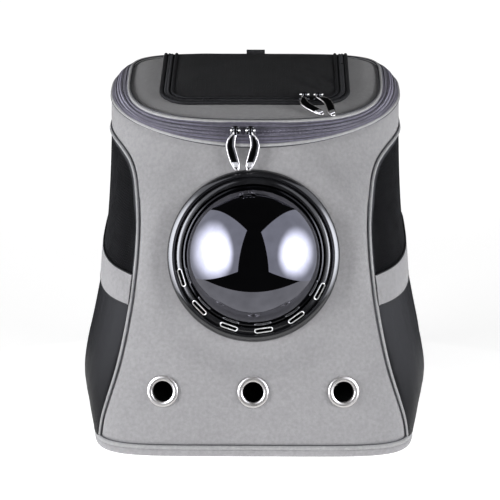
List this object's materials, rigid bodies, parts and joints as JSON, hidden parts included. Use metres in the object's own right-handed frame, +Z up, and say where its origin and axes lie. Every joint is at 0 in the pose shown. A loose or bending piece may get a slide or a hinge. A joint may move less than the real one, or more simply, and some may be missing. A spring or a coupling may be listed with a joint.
{
  "type": "bubble pet carrier backpack",
  "caption": "Soft backpack for carrying a small pet, with a domed mirror window ringed by vents, mesh sides, side pockets, a roll-up flap on its zipped lid and padded shoulder straps.",
  "frame": {"origin": "on the ground under the middle of the base", "axes": "+X towards the bag's right as seen from the front, -Y out of the front panel and its dome, +Z up"},
  "size_m": [0.3796, 0.3417, 0.4007],
  "materials": {
    "grey_fabric": "woven, matt",
    "grey_piping": "woven cord cover, satin",
    "zip_tape": "woven, matt",
    "zip_coil": "satin",
    "black_fabric": "ripstop weave, matt",
    "black_mesh": "open mesh, matt",
    "black_plastic": "gloss",
    "tinted_mirror": "tinted mirror on clear plastic",
    "polished_metal": "polished"
  },
  "bodies": {
    "shell": {"front_panel": "grey_fabric", "side_band_left": "grey_fabric", "side_band_right": "grey_fabric", "base_panel": "grey_fabric", "lid_panel": "grey_fabric", "seam_piping_left": "grey_piping", "seam_piping_right": "grey_piping", "base_piping": "grey_piping", "lid_piping_lower": "grey_piping", "lid_piping_upper": "grey_piping", "zip_tape_lower": "zip_tape", "zip_tape_upper": "zip_tape", "zip_coil": "zip_coil", "flap_zip_coil": "zip_coil", "side_wall_left": "black_fabric", "side_wall_right": "black_fabric", "side_pocket_left": "black_fabric", "side_pocket_right": "black_fabric", "back_panel": "black_fabric", "top_flap": "black_fabric", "flap_zip_tape_outer": "black_fabric", "flap_zip_tape_inner": "black_fabric", "flap_tab": "black_fabric", "shoulder_strap_left": "black_fabric", "shoulder_strap_right": "black_fabric", "strap_webbing_left": "black_fabric", "strap_webbing_right": "black_fabric", "mesh_window_left": "black_mesh", "mesh_window_right": "black_mesh", "dome_ring_inner": "black_plastic", "dome_ring_outer": "black_plastic", "strap_adjuster_left": "black_plastic", "strap_adjuster_right": "black_plastic", "dome": "tinted_mirror", "eyelet_left": "polished_metal", "eyelet_middle": "polished_metal", "eyelet_right": "polished_metal", "zip_slider_left": "polished_metal", "zip_slider_right": "polished_metal", "flap_slider_left": "polished_metal", "flap_slider_right": "polished_metal"},
    "zip_puller_left": {"zip_puller_left": "polished_metal"},
    "zip_puller_right": {"zip_puller_right": "polished_metal"},
    "flap_puller_left": {"flap_puller_left": "polished_metal"},
    "flap_puller_right": {"flap_puller_right": "polished_metal"}
  },
  "joints": [
    {"name": "zip_puller_left_hinge", "type": "hinge", "parent": "shell", "child": "zip_puller_left", "pos_m": [-0.0195, -0.07269, 0.34253], "axis": [-1, 0, 0], "range_deg": [0, 150]},
    {"name": "zip_puller_right_hinge", "type": "hinge", "parent": "shell", "child": "zip_puller_right", "pos_m": [-0.0035, -0.07269, 0.34253], "axis": [-1, 0, 0], "range_deg": [0, 150]},
    {"name": "flap_puller_left_hinge", "type": "hinge", "parent": "shell", "child": "flap_puller_left", "pos_m": [0.0545, -0.017, 0.37102], "axis": [-1, 0, 0], "range_deg": [0, 150]},
    {"name": "flap_puller_right_hinge", "type": "hinge", "parent": "shell", "child": "flap_puller_right", "pos_m": [0.0695, -0.017, 0.37084], "axis": [-1, 0, 0], "range_deg": [0, 150]}
  ]
}
